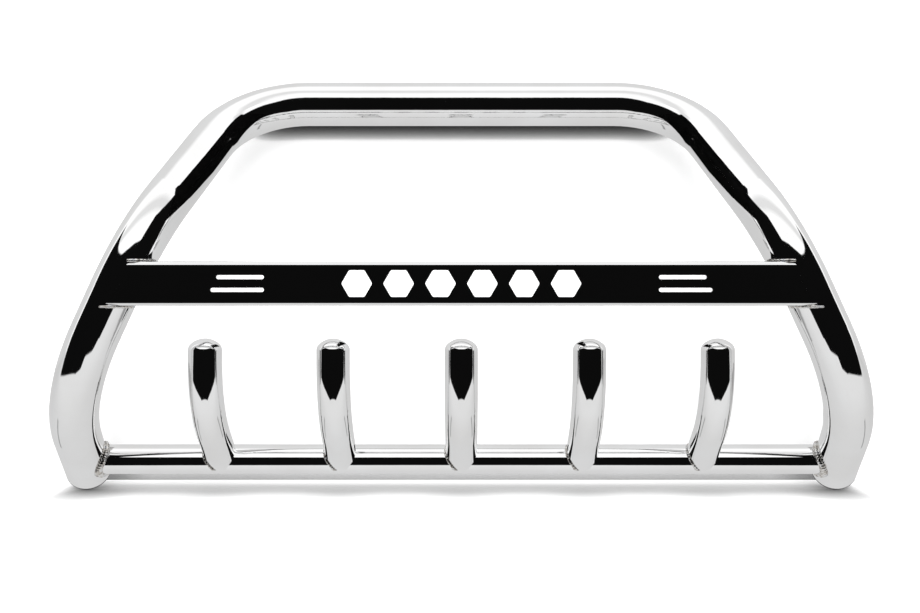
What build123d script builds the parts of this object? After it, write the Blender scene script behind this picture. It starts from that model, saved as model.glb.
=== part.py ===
from build123d import *
import math
import os

# A welded tube guard for the front of a car: one bent hoop, a lower cross tube with five
# bent teeth, a channel plate across the hoop, and two lugs that bolt to the chassis.
# Sizes are in millimetres. X is the width, +Y points back to the car, +Z is up.
# Heights are above the centre of the hoop's open ends, half widths are from the middle plane,
# and setbacks are behind the shoulder, the bend that stands furthest forward.

# Hoop: a tube whose axis is straight runs between these corners, each rounded by its bend.
hoop_diameter = 60.0
hoop_wall = 2.0
crown_half_width = 311.0
crown_height = 512.0
crown_setback = 203.0
crown_bend_radius = 124.0
shoulder_half_width = 390.0
shoulder_height = 313.0
shoulder_bend_radius = 164.0
hip_half_width = 490.0
hip_height = 111.0
hip_setback = 21.0
hip_bend_radius = 210.0
foot_half_width = 517.0
foot_setback = 173.0

# Lower cross tube, between the legs of the hoop
cross_diameter = 40.0
cross_wall = 2.0
cross_height = 17.5

# Teeth: a straight upper run, one bend, and a lower run to the middle of the cross tube
tooth_count = 5
tooth_pitch = 163.0
tooth_diameter = 42.4
tooth_wall = 2.0
tooth_top_height = 170.0
tooth_reach = 92.0
tooth_bend_radius = 132.0
tooth_lean = 50.0
tooth_end_gap = 5.0

# Domed caps in the tops of the teeth
cap_dome_height = 15.0
cap_knuckle = 11.0
cap_wall = 2.0
cap_skirt_length = 12.0
cap_skirt_wall = 1.5
cap_clearance = 0.2

# Channel plate across the hoop, open at the back
plate_height = 53.0
plate_centre_height = 253.0
plate_depth = 24.0
plate_wall = 2.0
plate_bend_radius = 5.0
plate_face_inset = 2.0

# Slots in pairs near the plate's ends: the upper one is shorter at its outer end
slot_width = 5.0
slot_inner_end = 235.7
upper_slot_length = 57.0
lower_slot_length = 64.0
slot_spacing = 15.2

# Row of plain six-sided windows in the middle of the plate
window_count = 6
window_height = 32.0
window_pitch = 50.0
window_corner_radius = 3.0

# Plugs in the open ends of the hoop
plug_flange = 2.5
plug_depth = 22.0
plug_clearance = 0.15
plug_rib_depth = 0.8
plug_rib_width = 2.0
plug_rib_pitch = 5.0
plug_rib_count = 3
plug_hollow_wall = 2.5

# Lugs: flat plates welded behind the legs, square to the width, with two bolt holes each
lug_thickness = 6.0
lug_inset = 5.0
lug_overhang = 19.0
lug_top_height = 142.0
lug_top_length = 66.0
lug_root_height = 98.0
lug_heel_height = 44.0
lug_toe_height = 28.0
lug_corner_radius = 12.0
bolt_hole_diameter = 11.0
bolt_spacing = 50.0
bolt_edge_distance = 22.0
bolt_top_distance = 22.0

# Weld beads, measured outward from the faces they join; the teeth and the plate have finer ones
weld_size = 4.0
tooth_weld_size = 1.5
plate_weld_size = 2.5

hoop_radius = hoop_diameter / 2
cross_radius = cross_diameter / 2
tooth_radius = tooth_diameter / 2


def tube_along(path, radius):
    """A solid round bar of this radius along a path."""
    start = Plane(origin=path @ 0, z_dir=path % 0)
    return Part() + sweep(start * Circle(radius), path=path)


def largest(shape):
    """The biggest solid of a cut shape, without its offcuts."""
    return max(shape.solids(), key=lambda solid: solid.volume)


def hoop_corners(side):
    """The corners of one leg from its foot up; side is 1 at the right and -1 at the left."""
    return [
        Vector(side * foot_half_width, foot_setback, 0),
        Vector(side * hip_half_width, hip_setback, hip_height),
        Vector(side * shoulder_half_width, 0, shoulder_height),
        Vector(side * crown_half_width, crown_setback, crown_height),
    ]


def hoop_axis():
    """The hoop's axis from the right foot over the crown to the left foot."""
    corners = hoop_corners(1) + hoop_corners(-1)[::-1]
    bends = [hip_bend_radius, shoulder_bend_radius, crown_bend_radius]
    return FilletPolyline(*corners, radius=bends + bends[::-1])


axis = hoop_axis()
hoop_bar = tube_along(axis, hoop_radius)


def leg_axis_at(height):
    """The point of the right leg's axis at a height, found by halving the way up the leg."""
    low, high = 0.0, 0.5
    while high - low > 1e-7:
        middle = (low + high) / 2
        if (axis @ middle).Z < height:
            low = middle
        else:
            high = middle
    return axis @ high


cross_end = leg_axis_at(cross_height)
cross_setback = cross_end.Y
plate_axis = leg_axis_at(plate_centre_height)
plate_face = plate_axis.Y - hoop_radius + plate_face_inset


def hoop_tube():
    """The bent tube of the hoop, open at both feet."""
    return hoop_bar - tube_along(axis, hoop_radius - hoop_wall)


def cross_bar(radius):
    """A round bar on the cross tube's axis, from the axis of one leg to the other's."""
    middle = Location((0, cross_setback, cross_height), (0, 90, 0))
    return middle * Cylinder(radius, 2 * cross_end.X)


def lower_cross_tube():
    """The straight tube between the legs, its ends cut to the legs' round."""
    return Part() + largest(cross_bar(cross_radius) - hoop_bar) - cross_bar(cross_radius - cross_wall)


def tooth_axis(middle):
    """A tooth's axis from its open top down to just short of the cross tube's axis."""
    front = cross_setback - tooth_reach
    drop = tooth_reach / math.tan(math.radians(tooth_lean))
    lean = math.radians(tooth_lean)
    end = Vector(middle, cross_setback, cross_height)
    end -= Vector(0, math.sin(lean), -math.cos(lean)) * tooth_end_gap
    top = Vector(middle, front, tooth_top_height)
    knee = Vector(middle, front, cross_height + drop)
    return FilletPolyline(top, knee, end, radius=tooth_bend_radius)


def tooth_tube(middle):
    """One bent tooth, its lower end cut to the cross tube's round."""
    path = tooth_axis(middle)
    bar = Part() + largest(tube_along(path, tooth_radius) - cross_bar(cross_radius))
    return bar - tube_along(path, tooth_radius - tooth_wall)


def dome(radius, height, knuckle):
    """A solid dome on the ground plane: a round crown that turns down in a tight knuckle."""
    flat = radius - knuckle
    crown = (flat**2 + height**2 - knuckle**2) / (2 * (height - knuckle))
    turn = math.degrees(math.atan2(crown - height, flat))
    rim = CenterArc((flat, 0), knuckle, 0, turn)
    top = CenterArc((0, height - crown), crown, turn, 90 - turn)
    outline = make_face([rim, top, Line((0, height), (0, 0)), Line((0, 0), (radius, 0))])
    return revolve(Plane.XZ * outline, Axis.Z)


def tooth_cap(middle):
    """A pressed dome on the tooth's rim, with a skirt that fits inside the tube."""
    skirt_radius = tooth_radius - tooth_wall - cap_clearance
    inner_radius = skirt_radius - cap_skirt_wall
    inner_knuckle = cap_knuckle - (tooth_radius - inner_radius)
    below = (Align.CENTER, Align.CENTER, Align.MAX)
    cap = dome(tooth_radius, cap_dome_height, cap_knuckle)
    cap += Cylinder(skirt_radius, cap_skirt_length, align=below)
    cap -= dome(inner_radius, cap_dome_height - cap_wall, inner_knuckle)
    cap -= Cylinder(inner_radius, cap_skirt_length, align=below)
    return Location((middle, cross_setback - tooth_reach, tooth_top_height)) * cap


def channel_bar():
    """The plate's outside form, filled, from leg to leg."""
    profile = Rectangle(plate_depth, plate_height)
    front = profile.vertices().sort_by(Axis.X)[:2]
    profile = fillet(front, plate_bend_radius)
    centre = Vector(0, plate_face + plate_depth / 2, plate_centre_height)
    across = Plane(origin=centre, x_dir=(0, 1, 0), z_dir=(1, 0, 0))
    return extrude(across * profile, amount=hip_half_width, both=True)


def channel_hollow():
    """The inside of the channel, open to the back."""
    profile = Rectangle(plate_depth, plate_height - 2 * plate_wall)
    front = profile.vertices().sort_by(Axis.X)[:2]
    profile = fillet(front, plate_bend_radius - plate_wall)
    centre = Vector(0, plate_face + plate_wall + plate_depth / 2, plate_centre_height)
    across = Plane(origin=centre, x_dir=(0, 1, 0), z_dir=(1, 0, 0))
    return extrude(across * profile, amount=foot_half_width, both=True)


def plate_slots():
    """The four round-ended slots, two at each side, as bars through the face."""
    rows = {slot_spacing / 2: upper_slot_length, -slot_spacing / 2: lower_slot_length}
    slots = Sketch()
    for side in (-1, 1):
        for height, length in rows.items():
            slots += Pos(side * (slot_inner_end + length / 2), height) * SlotOverall(length, slot_width)
    return slots


def plate_windows():
    """The row of plain windows in the middle of the plate."""
    window = RegularPolygon(window_height / 2, 6, major_radius=False)
    window = fillet(window.vertices(), window_corner_radius)
    start = -(window_count - 1) / 2 * window_pitch
    return [Pos(start + i * window_pitch, 0) * window for i in range(window_count)]


def channel_plate():
    """The channel plate, its ends cut to the legs' round, with slots and windows."""
    blank = Part() + largest(channel_bar() - hoop_bar)
    face = Plane(origin=(0, plate_face, plate_centre_height), x_dir=(1, 0, 0), z_dir=(0, -1, 0))
    openings = plate_slots()
    for window in plate_windows():
        openings += window
    cutters = extrude(face * openings, amount=plate_bend_radius, both=True)
    return blank - channel_hollow() - cutters


def leg_end_plug(side):
    """A plug in one foot: a thin flange on the tube's rim and a ribbed hollow spigot."""
    bore = hoop_radius - hoop_wall - plug_clearance
    core = bore - plug_rib_depth
    plug = Cylinder(hoop_radius, plug_flange, align=(Align.CENTER, Align.CENTER, Align.MAX))
    plug = fillet(plug.edges().sort_by(Axis.Z)[0], plug_flange * 0.4)
    plug += Cylinder(core, plug_depth, align=(Align.CENTER, Align.CENTER, Align.MIN))
    for i in range(plug_rib_count):
        rib = Cylinder(bore, plug_rib_width, align=(Align.CENTER, Align.CENTER, Align.MIN))
        plug += Pos(0, 0, plug_rib_pitch * (i + 0.5)) * rib
    hollow = Cylinder(core - plug_hollow_wall, plug_depth, align=(Align.CENTER, Align.CENTER, Align.MIN))
    plug -= hollow
    corners = hoop_corners(side)
    foot = Plane(origin=corners[0], z_dir=corners[1] - corners[0])
    return foot * plug


def lug_outline():
    """The lug's outline in setback and height, from the leg's axis to its rear edge."""
    root = leg_axis_at(lug_root_height)
    toe = leg_axis_at(lug_toe_height)
    rear = foot_setback + lug_overhang
    return Polyline(
        (root.Y, root.Z),
        (rear - lug_top_length, lug_top_height),
        (rear, lug_top_height),
        (rear, lug_heel_height),
        (toe.Y, toe.Z),
        close=True,
    )


def lug_holes():
    """The two bolt holes on a vertical line near the rear edge."""
    setback = foot_setback + lug_overhang - bolt_edge_distance
    top = lug_top_height - bolt_top_distance
    hole = Circle(bolt_hole_diameter / 2)
    return Pos(setback, top) * hole + Pos(setback, top - bolt_spacing) * hole


def lug_blank(side, grow):
    """The lug's full plate, running into the leg, thickened on both faces by a distance."""
    blank = make_face(lug_outline())
    rounded = blank.vertices().sort_by(Axis.X)[-2:]
    blank = fillet(rounded, lug_corner_radius) - lug_holes()
    half_width = foot_half_width - lug_inset
    upright = Plane(origin=(side * half_width, 0, 0), x_dir=(0, 1, 0), z_dir=(1, 0, 0))
    return extrude(upright * blank, amount=lug_thickness / 2 + grow, both=True)


def mounting_lug(side):
    """One lug, its front edge cut to the leg's round."""
    return Part() + largest(lug_blank(side, 0) - hoop_bar)


def cross_weld(side, swollen_hoop):
    """The bead round one end of the cross tube where it meets the leg."""
    ring = (cross_bar(cross_radius + weld_size) & swollen_hoop) - hoop_bar - cross_bar(cross_radius)
    return Part() + max(ring.solids(), key=lambda solid: side * solid.center().X)


def tooth_weld(middle):
    """The bead round a tooth's lower end where it meets the cross tube."""
    path = tooth_axis(middle)
    ring = tube_along(path, tooth_radius + tooth_weld_size) & cross_bar(cross_radius + tooth_weld_size)
    return Part() + largest(ring - tube_along(path, tooth_radius) - cross_bar(cross_radius))


def plate_bead(side, edge, away, beaded_hoop):
    """The bead on one edge of the plate, above or below it, on the inner side of a leg."""
    reach = leg_axis_at(edge).X
    near = Box(reach / 2, plate_depth, plate_weld_size)
    near = Pos(side * reach * 3 / 4, plate_face + plate_depth / 2, edge + away * plate_weld_size / 2) * near
    return largest((beaded_hoop & near) - hoop_bar)


def plate_weld(side):
    """The beads on the plate's upper and lower edges where they meet one leg."""
    beaded_hoop = tube_along(axis, hoop_radius + plate_weld_size)
    half = plate_height / 2
    return Part() + [
        plate_bead(side, plate_centre_height + away * half, away, beaded_hoop) for away in (-1, 1)
    ]


def lug_weld(side, swollen_hoop):
    """The beads along both faces of a lug where it meets the leg."""
    ring = (lug_blank(side, weld_size) & swollen_hoop) - hoop_bar - lug_blank(side, 0)
    beads = ring.solids().sort_by(SortBy.VOLUME)[-2:]
    return Part() + list(beads)


def build_nodes():
    """Every sub-part by name, in the working position."""
    swollen_hoop = tube_along(axis, hoop_radius + weld_size)
    nodes = {
        "hoop_tube": hoop_tube(),
        "lower_cross_tube": lower_cross_tube(),
        "channel_plate": channel_plate(),
    }
    for i in range(tooth_count):
        middle = (i - (tooth_count - 1) / 2) * tooth_pitch
        nodes[f"tooth_tube_{i + 1}"] = tooth_tube(middle)
        nodes[f"tooth_cap_{i + 1}"] = tooth_cap(middle)
        nodes[f"tooth_weld_{i + 1}"] = tooth_weld(middle)
    for side, name in ((-1, "left"), (1, "right")):
        nodes[f"leg_end_plug_{name}"] = leg_end_plug(side)
        nodes[f"mounting_lug_{name}"] = mounting_lug(side)
        nodes[f"cross_tube_weld_{name}"] = cross_weld(side, swollen_hoop)
        nodes[f"plate_weld_{name}"] = plate_weld(side)
        nodes[f"lug_weld_{name}"] = lug_weld(side, swollen_hoop)
    return nodes


def stand_on_origin(nodes):
    """Moves every sub-part so that the origin is at the bottom centre of the whole guard."""
    box = Compound(children=[Compound(list(node.solids())) for node in nodes.values()]).bounding_box()
    shift = Location((-box.center().X, -box.center().Y, -box.min.Z))
    return {name: shift * node for name, node in nodes.items()}


os.makedirs("parts", exist_ok=True)
for name, node in stand_on_origin(build_nodes()).items():
    export_step(node, f"parts/{name}.step")
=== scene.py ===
import math

import bmesh
import bpy
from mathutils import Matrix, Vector


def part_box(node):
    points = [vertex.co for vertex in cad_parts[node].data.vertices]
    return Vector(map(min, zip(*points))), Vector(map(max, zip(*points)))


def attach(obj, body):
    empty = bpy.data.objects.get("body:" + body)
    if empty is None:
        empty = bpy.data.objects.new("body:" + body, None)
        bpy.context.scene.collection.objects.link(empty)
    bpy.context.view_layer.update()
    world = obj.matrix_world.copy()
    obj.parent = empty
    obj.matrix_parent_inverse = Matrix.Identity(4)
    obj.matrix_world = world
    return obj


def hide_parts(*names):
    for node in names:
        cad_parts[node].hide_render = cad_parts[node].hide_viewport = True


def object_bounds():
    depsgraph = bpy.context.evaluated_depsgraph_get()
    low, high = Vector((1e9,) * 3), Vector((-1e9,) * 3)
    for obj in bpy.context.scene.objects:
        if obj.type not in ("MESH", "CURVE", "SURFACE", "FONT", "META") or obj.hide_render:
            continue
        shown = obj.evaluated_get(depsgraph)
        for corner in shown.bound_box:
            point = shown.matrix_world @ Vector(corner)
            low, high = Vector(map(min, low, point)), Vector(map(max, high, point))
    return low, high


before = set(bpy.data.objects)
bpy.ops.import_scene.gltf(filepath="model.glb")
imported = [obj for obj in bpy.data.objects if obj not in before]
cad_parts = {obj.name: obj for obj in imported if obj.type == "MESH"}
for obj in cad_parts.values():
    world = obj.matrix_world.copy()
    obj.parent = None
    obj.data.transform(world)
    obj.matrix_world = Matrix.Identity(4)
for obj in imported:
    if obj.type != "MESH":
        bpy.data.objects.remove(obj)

# The looks of a welded tube guard for the front of a car, in metres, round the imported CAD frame.
# X is the width, +Y points back to the car and +Z is up. The CAD nodes keep their shapes and get
# materials; the weld beads are modelled here, rippled, in the place of the plain CAD beads.

cad_low, cad_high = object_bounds()
cad_low, cad_high = Vector(cad_low), Vector(cad_high)

# Camera: the photograph's place in front of the guard, looking straight back
CAMERA_DISTANCE = 1.191
CAMERA_HEIGHT = 0.251
CAMERA_OFFSET = -0.0017
CAMERA_LENS = 39.13

# Welds: a rippled bead in each CAD bead's place
BEAD_VOXEL = 0.0009
BEAD_SMOOTHING = 6
BEAD_GROWTH = 0.0005
RIPPLE_PITCH = 0.0032
RIPPLE_HEIGHT = 0.0005

# Stage: a floor, and the white surface that the guard's back rests against in the photograph.
# A tone is what a surface reflects, and a glow is what it shows the camera by itself. The floor's
# glow rises to white from FLOOR_NEAR to FLOOR_FAR, as the lamps fade.
FLOOR_SIZE = 12.0
FLOOR_TONE = 0.8
FLOOR_GLOW = 0.45
FLOOR_NEAR = 0.9
FLOOR_FAR = 2.4
BACKDROP_WIDTH = 6.0
BACKDROP_HEIGHT = 4.0
BACKDROP_TONE = 0.7
BACKDROP_GLOW = 0.5

# Painted contact shade, darkening the stage's colour and glow near parts: how far a part darkens the
# stage, how steeply, and the way it looks, in degrees of lean from level to straight up. The backdrop's
# reach is longer low down, behind the cross tube.
FLOOR_REACH = 0.06
FLOOR_POWER = 1.0
FLOOR_LEAN = 90.0
BACKDROP_REACH = 0.026
BACKDROP_LOW_REACH = 0.07
BACKDROP_LOW_TOP = 0.02
BACKDROP_PLAIN_BOTTOM = 0.05
BACKDROP_POWER = 3.0
BACKDROP_LEAN = 30.0
CONTACT_HALF_WIDTH = 0.53
CONTACT_EDGE = 0.02
CONTACT_SAMPLES = 12

# A black card between the legs, which only the mirror finish shows: a painted dark reflection
CARD_FRONT = -0.15
CARD_BACK = 0.45
CARD_BOTTOM = 0.40
CARD_TOP = 0.78
CARD_EDGE_ON = 0.85
CARD_EDGE_ON_SOFTNESS = 0.05

# What the metal mirrors, by degrees of tilt: -180 and 180 are behind, -90 below, 0 in front, 90 above
ROOM_TONES = {
    -180: 0.66, -95: 0.74, -60: 0.82, -28: 0.84, 14: 1.15, 48: 1.15, 56: 0.86, 64: 0.86,
    72: 1.15, 95: 1.15, 103: 0.80, 180: 0.70,
}

# The room's dark part in front, in degrees. Its upper and lower edges rise with the turn to the
# side, each from one (turn, height) to another, and it ends at DARK_TURN.
DARK_TONE = 0.004
DARK_TOP = ((20, 21), (90, 43))
DARK_BOTTOM = ((25, -41), (95, -8))
DARK_TURN = 86

# A thin dark seam low on the sides and behind, in degrees
SEAM_HEIGHT = -38
SEAM_HALF_WIDTH = 1.5
SEAM_FROM_TURN = 95
SEAM_TO_TURN = 125
SEAM_TONE = 0.45


def set_input(tree, socket, value):
    """Links a socket to a node's output, or sets it to a plain value."""
    if isinstance(value, bpy.types.NodeSocket):
        tree.links.new(value, socket)
    else:
        socket.default_value = value


def add_node(tree, kind, inputs, **settings):
    """A shader node with its settings and inputs in place."""
    made = tree.nodes.new("ShaderNode" + kind)
    for key, value in settings.items():
        setattr(made, key, value)
    for key, value in inputs.items():
        set_input(tree, made.inputs[key], value)
    return made


def calculate(tree, operation, *values):
    """The result of a Math node."""
    return add_node(tree, "Math", dict(enumerate(values)), operation=operation).outputs[0]


def noise(tree, place, scale, detail=2.0):
    """Smooth noise from 0 to 1, with this many features per metre."""
    inputs = {"Vector": place, "Scale": scale, "Detail": detail}
    return add_node(tree, "TexNoise", inputs).outputs["Fac"]


def spread(tree, value, low, high, to_low, to_high):
    """A value moved from one range to another, and held inside it."""
    inputs = {"Value": value, "From Min": low, "From Max": high, "To Min": to_low, "To Max": to_high}
    return add_node(tree, "MapRange", inputs).outputs["Result"]


def past(tree, value, edge, half_width=0.7):
    """0 for a value under an edge and 1 for one over it, with a soft step between."""
    over = calculate(tree, "SUBTRACT", value, edge)
    return spread(tree, over, -half_width, half_width, 0.0, 1.0)


def slope(tree, value, ends):
    """The height of a sloping edge at a value, between its two (value, height) ends."""
    (low, at_low), (high, at_high) = ends
    return spread(tree, value, low, high, at_low, at_high)


def colours(tree, value, stops):
    """A colour picked by a value from a few (place, colour) stops."""
    made = add_node(tree, "ValToRGB", {"Fac": value})
    ramp = made.color_ramp
    while len(ramp.elements) < len(stops):
        ramp.elements.new(1.0)
    for element, (place, colour) in zip(ramp.elements, stops):
        element.position = place
        element.color = (*colour, 1.0)
    return made.outputs["Color"]


def bump(tree, height, depth, below=None):
    """A surface normal from a height of 0 to 1 and its depth in metres, over another normal."""
    inputs = {"Height": height, "Distance": depth}
    if below is not None:
        inputs["Normal"] = below
    return add_node(tree, "Bump", inputs).outputs["Normal"]


def new_material(name):
    """A material, its node tree, its shader and a place in metres on the guard."""
    material = bpy.data.materials.new(name)
    material.use_nodes = True
    tree = material.node_tree
    shader = tree.nodes["Principled BSDF"]
    return material, tree, shader, add_node(tree, "TexCoord", {}).outputs["Object"]


def grey(level, warmth=0.0):
    """A grey colour, a little warmer or cooler."""
    return (level * (1 + warmth), level, level * (1 - warmth))


def polished_steel(name, dark, light, waves):
    """Mirror polished stainless steel: faint clouds, hairline marks and slow waves in its surface."""
    material, tree, shader, place = new_material(name)
    clouds = noise(tree, place, 14.0, 4.0)
    hairs = noise(tree, place, 900.0, 3.0)
    shader.inputs["Metallic"].default_value = 1.0
    set_input(tree, shader.inputs["Base Color"], colours(tree, clouds, [(0.3, dark), (0.7, light)]))
    marks = calculate(tree, "MULTIPLY", clouds, hairs)
    set_input(tree, shader.inputs["Roughness"], spread(tree, marks, 0.1, 0.4, 0.02, 0.06))
    slow = bump(tree, noise(tree, place, 26.0, 3.0), waves)
    fine = bump(tree, hairs, 0.0000015, slow)
    set_input(tree, shader.inputs["Normal"], fine)
    return material


def weld_steel():
    """Weld metal: bright, straw, blue heat-tinted and dark sooty patches spread at random by noise,
    with a fine grain.
    """
    material, tree, shader, place = new_material("weld_metal")
    patches = noise(tree, place, 160.0, 5.0)
    grains = noise(tree, place, 1800.0, 3.0)
    tints = [
        (0.30, (0.20, 0.19, 0.19)),
        (0.42, (0.56, 0.53, 0.49)),
        (0.55, (0.84, 0.83, 0.81)),
        (0.72, (0.60, 0.62, 0.67)),
    ]
    shader.inputs["Metallic"].default_value = 1.0
    set_input(tree, shader.inputs["Base Color"], colours(tree, patches, tints))
    set_input(tree, shader.inputs["Roughness"], spread(tree, patches, 0.3, 0.7, 0.12, 0.28))
    set_input(tree, shader.inputs["Normal"], bump(tree, grains, 0.00008))
    return material


def brushed_steel():
    """Plain stainless plate: brushed lines from front to back over faint clouds."""
    material, tree, shader, place = new_material("brushed_lug_steel")
    stretch = add_node(tree, "Mapping", {"Vector": place, "Scale": (900.0, 12.0, 900.0)})
    lines = noise(tree, stretch.outputs["Vector"], 1.0, 3.0)
    clouds = noise(tree, place, 30.0, 4.0)
    shader.inputs["Metallic"].default_value = 1.0
    tones = [(0.3, grey(0.50)), (0.7, grey(0.64, 0.01))]
    set_input(tree, shader.inputs["Base Color"], colours(tree, clouds, tones))
    set_input(tree, shader.inputs["Roughness"], spread(tree, lines, 0.3, 0.7, 0.24, 0.42))
    set_input(tree, shader.inputs["Normal"], bump(tree, lines, 0.00003))
    return material


def black_plastic():
    """Moulded black plastic with a fine grain."""
    material, tree, shader, place = new_material("moulded_black_plastic")
    grain = noise(tree, place, 1400.0, 2.0)
    clouds = noise(tree, place, 60.0, 3.0)
    tones = [(0.3, grey(0.010)), (0.7, grey(0.022))]
    set_input(tree, shader.inputs["Base Color"], colours(tree, clouds, tones))
    set_input(tree, shader.inputs["Roughness"], spread(tree, grain, 0.3, 0.7, 0.5, 0.7))
    shader.inputs["Specular IOR Level"].default_value = 0.3
    set_input(tree, shader.inputs["Normal"], bump(tree, grain, 0.00006))
    return material


def paint_node(name, material):
    """Gives a CAD node its finish through its object's own material slot."""
    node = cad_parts[name]
    if not node.material_slots:
        node.data.materials.append(None)
    node.material_slots[0].link = "OBJECT"
    node.material_slots[0].material = material


def smooth_copy(node_name, name):
    """A copy of a CAD weld as an even, softened mesh."""
    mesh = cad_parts[node_name].data.copy()
    work = bmesh.new()
    work.from_mesh(mesh)
    bmesh.ops.remove_doubles(work, verts=work.verts, dist=1e-6)
    work.to_mesh(mesh)
    work.free()
    rough = bpy.data.objects.new(name + "_rough", mesh)
    bpy.context.scene.collection.objects.link(rough)
    remesh = rough.modifiers.new("even", "REMESH")
    remesh.mode = "VOXEL"
    remesh.voxel_size = BEAD_VOXEL
    soften = rough.modifiers.new("soften", "SMOOTH")
    soften.iterations = BEAD_SMOOTHING
    graph = bpy.context.evaluated_depsgraph_get()
    bead = bpy.data.objects.new(name, bpy.data.meshes.new_from_object(rough.evaluated_get(graph)))
    bpy.data.objects.remove(rough)
    bpy.context.scene.collection.objects.link(bead)
    return bead


def weld_bead(node_name, ripple_at, material):
    """A rippled bead in the place of a CAD weld; ripple_at counts ripples up to a point."""
    bead = smooth_copy(node_name, node_name + "_bead")
    work = bmesh.new()
    work.from_mesh(bead.data)
    work.normal_update()
    moves = []
    for vertex in work.verts:
        lift = BEAD_GROWTH + RIPPLE_HEIGHT * abs(math.sin(math.pi * ripple_at(vertex.co)))
        moves.append(vertex.normal * lift)
    for vertex, move in zip(work.verts, moves):
        vertex.co += move
    for face in work.faces:
        face.smooth = True
    work.to_mesh(bead.data)
    work.free()
    bead.data.materials.clear()
    bead.data.materials.append(material)
    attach(bead, "root")
    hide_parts(node_name)
    return bead


def round_ripples(node_name, across, along):
    """Counts ripples round a ring-shaped weld; across and along span the ring's plane."""
    low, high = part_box(node_name)
    middle = (low + high) / 2
    radius = ((high - low).dot(across) + (high - low).dot(along)) / 4
    count = round(2 * math.pi * radius / RIPPLE_PITCH)

    def ripples(point):
        out = point - middle
        return count * math.atan2(out.dot(along), out.dot(across)) / (2 * math.pi)

    return ripples


def straight_ripples(direction):
    """Counts ripples along a straight weld."""
    return lambda point: point.dot(direction) / RIPPLE_PITCH


def weld_beads(material):
    """All the beads: rings at tube ends, and straight runs along the plate and the lugs."""
    left, back, up = Vector((1, 0, 0)), Vector((0, 1, 0)), Vector((0, 0, 1))
    for i in range(5):
        name = f"tooth_weld_{i + 1}"
        weld_bead(name, round_ripples(name, left, up), material)
    for side in ("left", "right"):
        ring = f"cross_tube_weld_{side}"
        weld_bead(ring, round_ripples(ring, back, up), material)
        weld_bead(f"plate_weld_{side}", straight_ripples(back), material)
        weld_bead(f"lug_weld_{side}", straight_ripples(up), material)


def new_mesh(name, corners, faces):
    """An object from corners and faces."""
    mesh = bpy.data.meshes.new(name)
    mesh.from_pydata(corners, [], faces)
    made = bpy.data.objects.new(name, mesh)
    bpy.context.scene.collection.objects.link(made)
    return made


def painted_contact_shade(tree, place, lean, reach, power):
    """Painted shade for the stage: 1 in the open and beside the guard, and darker close to a part, as
    seen from a hemisphere that leans up.
    """
    leaning = {"Y": -math.cos(math.radians(lean)), "Z": math.sin(math.radians(lean))}
    leaning = add_node(tree, "CombineXYZ", leaning).outputs[0]
    inputs = {"Distance": reach, "Normal": leaning}
    near = add_node(tree, "AmbientOcclusion", inputs, samples=CONTACT_SAMPLES).outputs["AO"]
    sideways = calculate(tree, "ABSOLUTE", add_node(tree, "SeparateXYZ", {0: place}).outputs["X"])
    beside = past(tree, sideways, CONTACT_HALF_WIDTH, CONTACT_EDGE)
    return calculate(tree, "MAXIMUM", calculate(tree, "POWER", near, power), beside)


def pale_surface(tree, shade, tone, glow):
    """A matt surface that takes shadows, with a glow that only the camera sees, both darkened near
    parts by painted shade.
    """
    matt = add_node(tree, "BsdfDiffuse", {"Color": calculate(tree, "MULTIPLY", shade, tone)}).outputs[0]
    seen = add_node(tree, "LightPath", {}).outputs["Is Camera Ray"]
    light = calculate(tree, "MULTIPLY", seen, calculate(tree, "MULTIPLY", shade, glow))
    shine = add_node(tree, "Emission", {"Strength": light}).outputs[0]
    return add_node(tree, "AddShader", {0: matt, 1: shine}).outputs[0]


def bare_material(name):
    """A material with no shader yet, its node tree and a place in metres on the stage."""
    material, tree, shader, place = new_material(name)
    tree.nodes.remove(shader)
    return material, tree, place


def show(tree, surface):
    """Puts a shader on a material's output."""
    tree.links.new(surface, tree.nodes["Material Output"].inputs["Surface"])


def floor_material():
    """White, with painted contact shade near the guard, and glowing more with distance, where the lamps
    fade.
    """
    material, tree, place = bare_material("floor_white")
    shade = painted_contact_shade(tree, place, FLOOR_LEAN, FLOOR_REACH, FLOOR_POWER)
    away = add_node(tree, "VectorMath", {0: place}, operation="LENGTH").outputs["Value"]
    glow = spread(tree, away, FLOOR_NEAR, FLOOR_FAR, FLOOR_GLOW, 1.0)
    show(tree, pale_surface(tree, shade, FLOOR_TONE, glow))
    return material


def backdrop_material():
    """White from the front, with painted contact shade that is deeper low down, and clear from behind.
    """
    material, tree, place = bare_material("backdrop_white")
    height = add_node(tree, "SeparateXYZ", {0: place}).outputs["Z"]
    low, plain = BACKDROP_LOW_TOP, BACKDROP_PLAIN_BOTTOM
    reach = spread(tree, height, low, plain, BACKDROP_LOW_REACH, BACKDROP_REACH)
    shade = painted_contact_shade(tree, place, BACKDROP_LEAN, reach, BACKDROP_POWER)
    front = pale_surface(tree, shade, BACKDROP_TONE, BACKDROP_GLOW)
    behind = add_node(tree, "NewGeometry", {}).outputs["Backfacing"]
    clear = add_node(tree, "BsdfTransparent", {}).outputs[0]
    show(tree, add_node(tree, "MixShader", {0: behind, 1: front, 2: clear}).outputs[0])
    return material


def make_stage():
    """The floor the guard stands on, and the pale surface that its back rests against."""
    half = FLOOR_SIZE / 2
    corners = [(-half, -half, 0), (half, -half, 0), (half, half, 0), (-half, half, 0)]
    floor = new_mesh("floor", corners, [(0, 1, 2, 3)])
    floor.data.materials.append(floor_material())
    floor.visible_glossy = False
    half, back, top = BACKDROP_WIDTH / 2, cad_high.y, BACKDROP_HEIGHT
    corners = [(-half, back, 0), (half, back, 0), (half, back, top), (-half, back, top)]
    backdrop = new_mesh("backdrop", corners, [(0, 1, 2, 3)])
    backdrop.data.materials.append(backdrop_material())
    backdrop.visible_glossy = False
    backdrop.visible_shadow = False
    backdrop.visible_diffuse = False


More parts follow.
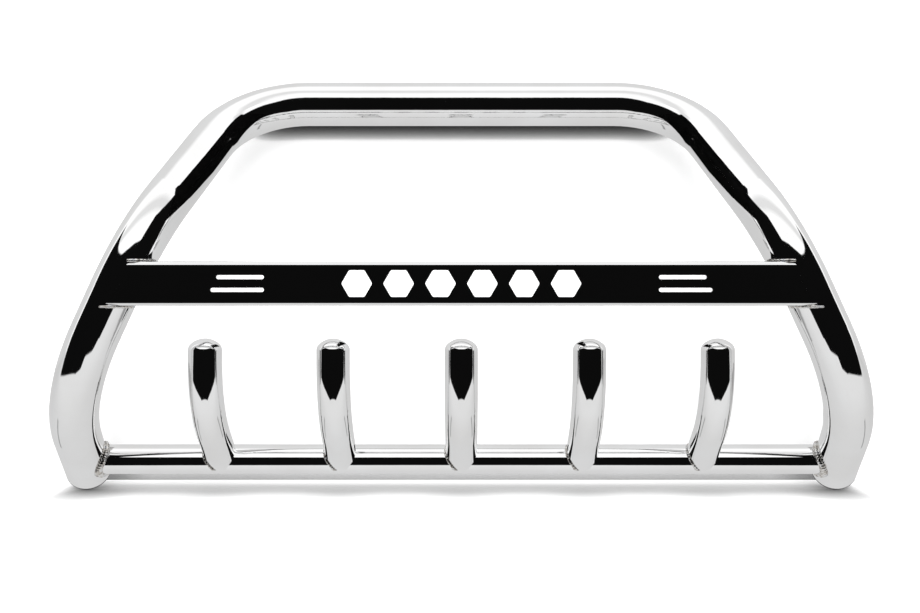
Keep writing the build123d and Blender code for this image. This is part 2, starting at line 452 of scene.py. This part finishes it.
def reflection_card_material():
    """Matt black for a painted dark reflection, and clear where it is seen edge on, so that it draws no
    line where it is cut.
    """
    material, tree, place = bare_material("painted_reflection_black")
    matt = add_node(tree, "BsdfDiffuse", {"Color": (*grey(DARK_TONE), 1.0)}).outputs[0]
    clear = add_node(tree, "BsdfTransparent", {}).outputs[0]
    facing = add_node(tree, "LayerWeight", {}).outputs["Facing"]
    edge_on = past(tree, facing, CARD_EDGE_ON, CARD_EDGE_ON_SOFTNESS)
    show(tree, add_node(tree, "MixShader", {0: edge_on, 1: matt, 2: clear}).outputs[0])
    return material


def make_reflection_card():
    """A black card in the guard's middle plane, seen only in reflections: a painted dark reflection on
    the inner sides of the sloping legs.
    """
    near, far, bottom, top = CARD_FRONT, CARD_BACK, CARD_BOTTOM, CARD_TOP
    corners = [(0, near, bottom), (0, far, bottom), (0, far, top), (0, near, top)]
    card = new_mesh("painted_reflection_card", corners, [(0, 1, 2, 3)])
    card.data.materials.append(reflection_card_material())
    card.visible_camera = False
    card.visible_diffuse = False
    card.visible_shadow = False
    card.visible_transmission = False


def tilt_stops(tones):
    """The stops of a colour ramp from tones by degrees."""
    return [((degrees + 180) / 360, grey(tone)) for degrees, tone in tones.items()]


def room_colour(tree, direction):
    """What the metal mirrors in each direction: pale all round, dark in front, with a thin seam."""
    axes = add_node(tree, "SeparateXYZ", {0: direction}).outputs
    front = calculate(tree, "MULTIPLY", axes["Y"], -1.0)
    side = calculate(tree, "ABSOLUTE", axes["X"])
    turn = calculate(tree, "DEGREES", calculate(tree, "ARCTAN2", side, front))
    height = calculate(tree, "DEGREES", calculate(tree, "ARCSINE", axes["Z"]))
    tilt = calculate(tree, "DEGREES", calculate(tree, "ARCTAN2", axes["Z"], front))
    room = colours(tree, spread(tree, tilt, -180, 180, 0.0, 1.0), tilt_stops(ROOM_TONES))
    above = past(tree, height, slope(tree, turn, DARK_TOP))
    below = past(tree, slope(tree, turn, DARK_BOTTOM), height)
    behind = past(tree, turn, DARK_TURN)
    from_seam = calculate(tree, "ABSOLUTE", calculate(tree, "SUBTRACT", height, SEAM_HEIGHT))
    off_seam = past(tree, from_seam, SEAM_HALF_WIDTH)
    for outside in (past(tree, SEAM_FROM_TURN, turn), past(tree, turn, SEAM_TO_TURN)):
        off_seam = calculate(tree, "MAXIMUM", off_seam, outside)
    lit = calculate(tree, "MAXIMUM", calculate(tree, "MAXIMUM", above, below), behind)
    lit = calculate(tree, "MULTIPLY", lit, spread(tree, off_seam, 0.0, 1.0, SEAM_TONE, 1.0))
    mixed = add_node(tree, "Mix", {"Factor": lit}, data_type="RGBA")
    dark, light = mixed.inputs[6], mixed.inputs[7]
    dark.default_value = (*grey(DARK_TONE), 1.0)
    tree.links.new(room, light)
    return mixed.outputs[2]


def make_world():
    """White to the camera, the room to the metal, and a half-strength room to matt surfaces."""
    world = bpy.data.worlds.new("studio")
    bpy.context.scene.world = world
    world.use_nodes = True
    tree = world.node_tree
    tree.nodes.clear()
    room = room_colour(tree, add_node(tree, "TexCoord", {}).outputs["Generated"])
    rays = add_node(tree, "LightPath", {}).outputs
    matt_share = calculate(tree, "MULTIPLY", rays["Is Diffuse Ray"], -0.5)
    strength = calculate(tree, "ADD", matt_share, 1.0)
    studio = add_node(tree, "Background", {"Color": room, "Strength": strength}).outputs[0]
    white = add_node(tree, "Background", {"Color": (1.0, 1.0, 1.0, 1.0)}).outputs[0]
    seen = calculate(tree, "MAXIMUM", rays["Is Camera Ray"], rays["Is Transmission Ray"])
    shown = add_node(tree, "MixShader", {0: seen, 1: studio, 2: white}).outputs[0]
    output = tree.nodes.new("ShaderNodeOutputWorld")
    tree.links.new(shown, output.inputs["Surface"])


def make_lamp(name, place, aim, size, power):
    """A square soft lamp that the mirror finish doesn't show."""
    data = bpy.data.lights.new(name, "AREA")
    data.size = size
    data.energy = power
    lamp = bpy.data.objects.new(name, data)
    lamp.location = place
    lamp.rotation_euler = (Vector(aim) - Vector(place)).to_track_quat("-Z", "Y").to_euler()
    lamp.visible_glossy = False
    bpy.context.scene.collection.objects.link(lamp)


def make_camera():
    """The photograph's camera."""
    data = bpy.data.cameras.new("camera")
    data.lens = CAMERA_LENS
    camera = bpy.data.objects.new("camera", data)
    camera.location = (CAMERA_OFFSET, cad_low.y - CAMERA_DISTANCE, cad_low.z + CAMERA_HEIGHT)
    camera.rotation_euler = (math.pi / 2, 0, 0)
    bpy.context.scene.collection.objects.link(camera)
    bpy.context.scene.camera = camera


make_camera()
bpy.context.scene.view_settings.view_transform = "Standard"

chrome = polished_steel("polished_tube_steel", grey(0.86, 0.004), grey(0.92, -0.004), 0.00012)
mirror = polished_steel("polished_sheet_steel", grey(0.84, -0.004), grey(0.90, 0.0), 0.00004)
lug_metal = brushed_steel()
plug_plastic = black_plastic()
for node_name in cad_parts:
    if node_name.startswith(("hoop", "lower_cross", "tooth_tube", "tooth_cap")):
        paint_node(node_name, chrome)
    elif node_name.startswith("channel"):
        paint_node(node_name, mirror)
    elif node_name.startswith("mounting_lug"):
        paint_node(node_name, lug_metal)
    elif node_name.startswith("leg_end_plug"):
        paint_node(node_name, plug_plastic)
weld_beads(weld_steel())

make_stage()
make_reflection_card()
make_world()
make_lamp("key_lamp", (0.0, -2.2, 2.4), (0.0, 0.0, 0.28), 2.4, 130.0)
make_lamp("fill_lamp", (0.0, -0.6, 3.4), (0.0, 0.0, 0.2), 2.0, 20.0)
